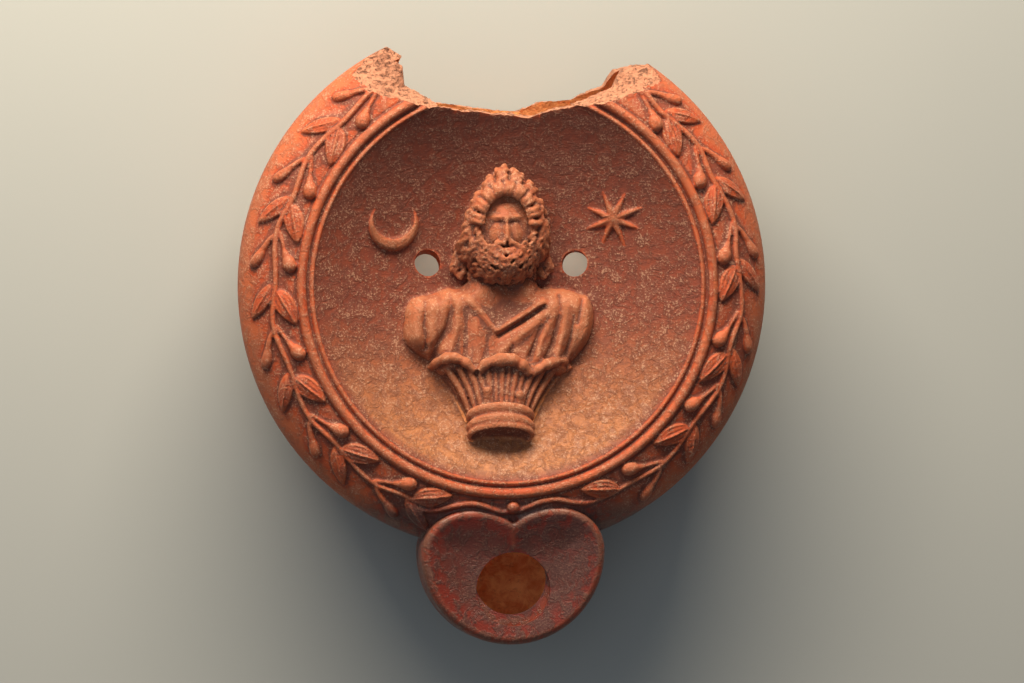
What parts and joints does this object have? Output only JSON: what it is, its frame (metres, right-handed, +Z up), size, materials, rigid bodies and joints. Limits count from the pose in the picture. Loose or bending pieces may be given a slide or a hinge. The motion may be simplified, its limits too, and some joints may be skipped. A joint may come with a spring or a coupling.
{
  "type": "oil lamp",
  "caption": "Broken round mould-made clay oil lamp with a wreathed shoulder, a bearded bust in the discus and a heart-shaped nozzle.",
  "frame": {"origin": "middle of the lamp's length and width, on the surface it stands on", "axes": "+Z up, out of the discus; -Y towards the nozzle; +Y towards the broken handle end"},
  "size_m": [0.18, 0.2024, 0.059],
  "materials": {
    "slipped_clay": "satin"
  },
  "bodies": {
    "root": {"lamp": "slipped_clay"}
  },
  "joints": []
}
